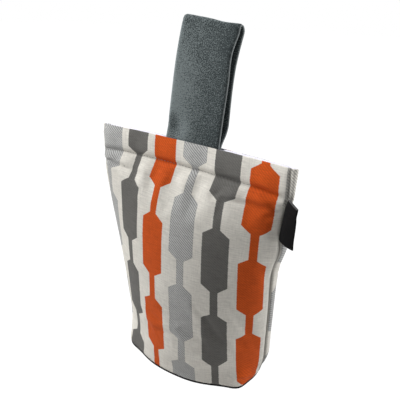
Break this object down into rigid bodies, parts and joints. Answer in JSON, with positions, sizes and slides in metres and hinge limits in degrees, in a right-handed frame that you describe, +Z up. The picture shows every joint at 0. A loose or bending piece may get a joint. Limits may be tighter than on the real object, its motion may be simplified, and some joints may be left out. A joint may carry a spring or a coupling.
{
  "type": "weighted fabric door stop",
  "caption": "Filled cloth door stop with a flat stitched hem, a strap loop handle, a side seam label and a dark base that stands on the floor.",
  "frame": {"origin": "on the floor, under the middle of the door stop's bounding box", "axes": "+Z up, +X along the hem and the strap handle towards the side with the label, -Y towards the front panel"},
  "size_m": [0.1872, 0.0922, 0.2975],
  "materials": {
    "printed_cloth": "matte woven cotton printed with rows of grey, dark grey and orange beads",
    "base_cloth": "matte black canvas",
    "velvet_strap": "slate grey velvet",
    "label_ribbon": "black woven satin ribbon"
  },
  "bodies": {
    "root": {"filled_bag": "printed_cloth", "base_panel": "base_cloth", "handle_loop": "velvet_strap", "side_label": "label_ribbon"}
  },
  "joints": []
}
